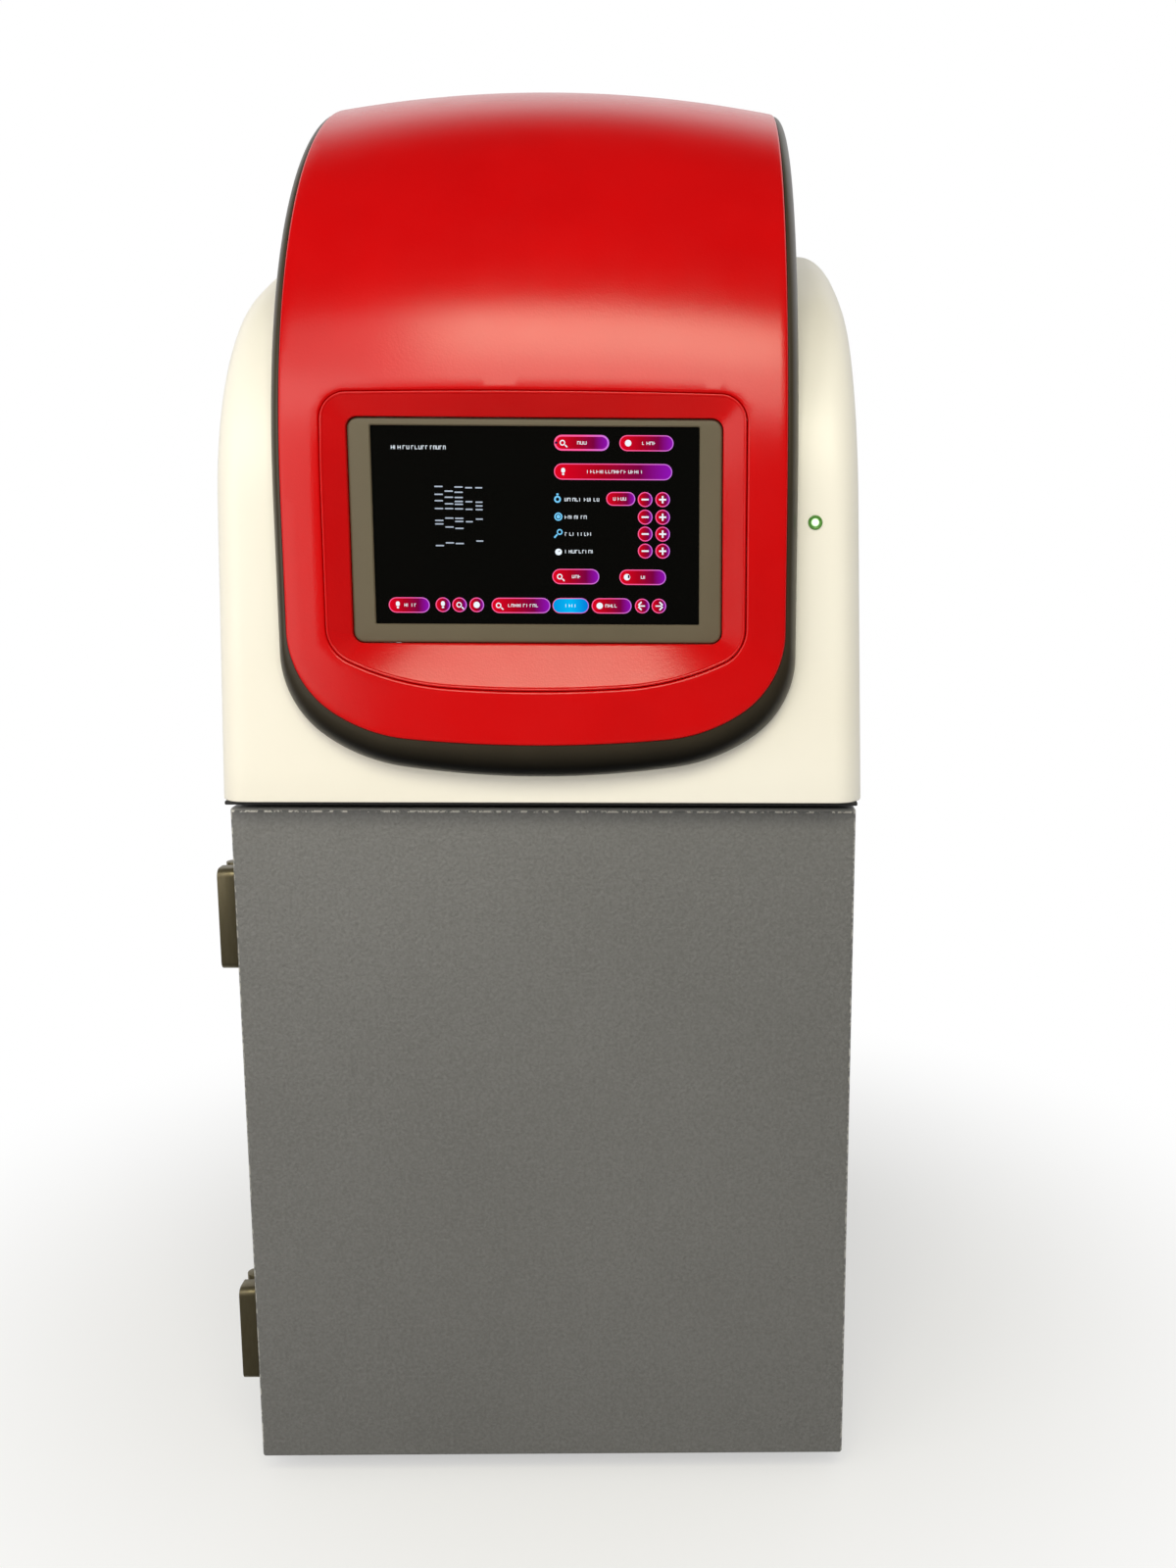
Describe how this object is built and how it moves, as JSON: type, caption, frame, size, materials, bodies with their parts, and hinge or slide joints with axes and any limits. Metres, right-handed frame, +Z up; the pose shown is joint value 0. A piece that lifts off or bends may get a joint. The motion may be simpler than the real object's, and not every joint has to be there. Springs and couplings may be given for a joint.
{
  "type": "gel documentation system",
  "caption": "Bench-top gel documentation cabinet with a hinged darkroom door, pull-out light table, moulded hood with red visor, touch screen and motorised camera lens.",
  "frame": {"origin": "centre of the outline on the surface it stands on, under the rubber feet", "axes": "+Z up, the door and screen face -Y, +X to the right of someone facing the screen"},
  "size_m": [0.3216, 0.4495, 0.749],
  "materials": {
    "grey_powder_coat": "satin fine texture",
    "dark_powder_coat": "matt black fine texture",
    "zinc_steel": "zinc plated",
    "rubber": "matt",
    "foam_seal": "matt foam",
    "hinge_bronze": "dark anodised satin",
    "black_plastic": "fine grain",
    "anodised_aluminium": "satin anodised",
    "opal_diffuser": "translucent satin",
    "cream_moulding": "semi-gloss paint",
    "charcoal_trim": "semi-gloss",
    "red_moulding": "fine leather grain, semi-gloss",
    "red_insert": "fine leather grain, semi-gloss",
    "bezel_grey": "satin",
    "display_glass": "polished",
    "module_grey": "pressed steel",
    "indicator_metal": "satin",
    "green_indicator": "frosted, lit",
    "lens_black": "black anodised",
    "pinion_brass": "machined",
    "board_green": "solder mask",
    "port_metal": "stamped",
    "rocker_black": "satin",
    "nylon_white": "moulded",
    "case_white": "white powder coat",
    "uv_glass": "polished filter glass",
    "tube_glass": "phosphor-coated",
    "orange_filter": "polished filter glass"
  },
  "bodies": {
    "root": {"side_panel_left": "grey_powder_coat", "side_panel_right": "grey_powder_coat", "back_panel": "grey_powder_coat", "base_pan": "grey_powder_coat", "roof_plate": "dark_powder_coat", "front_frame": "dark_powder_coat", "feet": "rubber", "door_seal": "foam_seal", "hinge_body_leaves": "hinge_bronze", "hinge_pins": "zinc_steel", "magnetic_catch": "black_plastic", "interlock_switch": "black_plastic", "slide_rails_outer": "zinc_steel", "epi_light_bars": "anodised_aluminium", "epi_diffusers": "opal_diffuser", "filter_guides": "black_plastic", "hood_base": "dark_powder_coat", "hood_shell": "cream_moulding", "visor_trim": "charcoal_trim", "visor": "red_moulding", "screen_surround": "red_insert", "screen_bezel": "bezel_grey", "display_glass": "display_glass", "display_module": "module_grey", "led_bezel": "indicator_metal", "status_led": "green_indicator", "camera_bracket": "zinc_steel", "camera_body": "black_plastic", "lens_barrel": "lens_black", "lens_motors": "anodised_aluminium", "main_board": "board_green", "power_supply": "zinc_steel", "fan_frame": "black_plastic", "rear_cover": "grey_powder_coat", "mains_inlet": "black_plastic", "switch_housing": "black_plastic", "data_ports": "port_metal"},
    "door": {"door_skin": "grey_powder_coat", "door_liner": "dark_powder_coat", "hinge_door_leaves": "hinge_bronze", "strike_plate": "zinc_steel"},
    "light_table": {"tray": "zinc_steel", "slide_rails_inner": "zinc_steel", "transilluminator_case": "case_white", "filter_frame": "black_plastic", "uv_filter_glass": "uv_glass", "uv_tubes": "tube_glass", "tube_holders": "nylon_white", "tray_handle": "black_plastic"},
    "filter_slide": {"filter_holder": "black_plastic", "emission_filter": "orange_filter"},
    "focus_ring": {"focus_ring": "lens_black"},
    "zoom_ring": {"zoom_ring": "lens_black"},
    "iris_ring": {"iris_ring": "lens_black"},
    "focus_pinion": {"focus_pinion": "pinion_brass"},
    "zoom_pinion": {"zoom_pinion": "pinion_brass"},
    "iris_pinion": {"iris_pinion": "pinion_brass"},
    "fan_rotor": {"fan_rotor": "black_plastic"},
    "power_rocker": {"power_rocker": "rocker_black"},
    "interlock_plunger": {"interlock_plunger": "nylon_white"}
  },
  "joints": [
    {"name": "door_hinge", "type": "hinge", "parent": "root", "child": "door", "pos_m": [-0.16, -0.175, 0.19], "axis": [0, 0, -1], "range_deg": [0, 130]},
    {"name": "light_table_slide", "type": "slide", "parent": "root", "child": "light_table", "axis": [0, -1, 0], "range_m": [0, 0.195]},
    {"name": "interlock_travel", "type": "slide", "parent": "root", "child": "interlock_plunger", "axis": [0, -1, 0], "range_m": [0, 0.003]},
    {"name": "filter_slide_travel", "type": "slide", "parent": "root", "child": "filter_slide", "axis": [0, -1, 0], "range_m": [0, 0.075]},
    {"name": "focus_turn", "type": "hinge", "parent": "root", "child": "focus_ring", "pos_m": [0, 0.022, 0.398], "axis": [0, 0, 1], "range_deg": [-60, 60]},
    {"name": "focus_motor_turn", "type": "hinge", "parent": "root", "child": "focus_pinion", "pos_m": [0, -0.01912, 0.398], "axis": [0, 0, 1], "range_deg": [-215, 215]},
    {"name": "zoom_turn", "type": "hinge", "parent": "root", "child": "zoom_ring", "pos_m": [0, 0.022, 0.414], "axis": [0, 0, 1], "range_deg": [-50, 50]},
    {"name": "zoom_motor_turn", "type": "hinge", "parent": "root", "child": "zoom_pinion", "pos_m": [-0.04112, 0.022, 0.414], "axis": [0, 0, 1], "range_deg": [-179, 179]},
    {"name": "iris_turn", "type": "hinge", "parent": "root", "child": "iris_ring", "pos_m": [0, 0.022, 0.43], "axis": [0, 0, 1], "range_deg": [-25, 25]},
    {"name": "iris_motor_turn", "type": "hinge", "parent": "root", "child": "iris_pinion", "pos_m": [0.04112, 0.022, 0.43], "axis": [0, 0, 1], "range_deg": [-90, 90]},
    {"name": "fan_spin", "type": "hinge", "parent": "root", "child": "fan_rotor", "pos_m": [0.062, 0.21, 0.47], "axis": [0, -1, 0], "continuous": true},
    {"name": "rocker_tilt", "type": "hinge", "parent": "root", "child": "power_rocker", "pos_m": [-0.088, 0.214, 0.452], "axis": [1, 0, 0], "range_deg": [-16, 0]}
  ],
  "couplings": [
    {"joint": "light_table_slide", "follows": "door_hinge", "m_per_rad": 0.0859},
    {"joint": "interlock_travel", "follows": "door_hinge", "m_per_rad": 0.00132},
    {"joint": "focus_motor_turn", "follows": "focus_turn", "ratio": -3.5556},
    {"joint": "zoom_motor_turn", "follows": "zoom_turn", "ratio": -3.5556},
    {"joint": "iris_motor_turn", "follows": "iris_turn", "ratio": -3.5556}
  ]
}
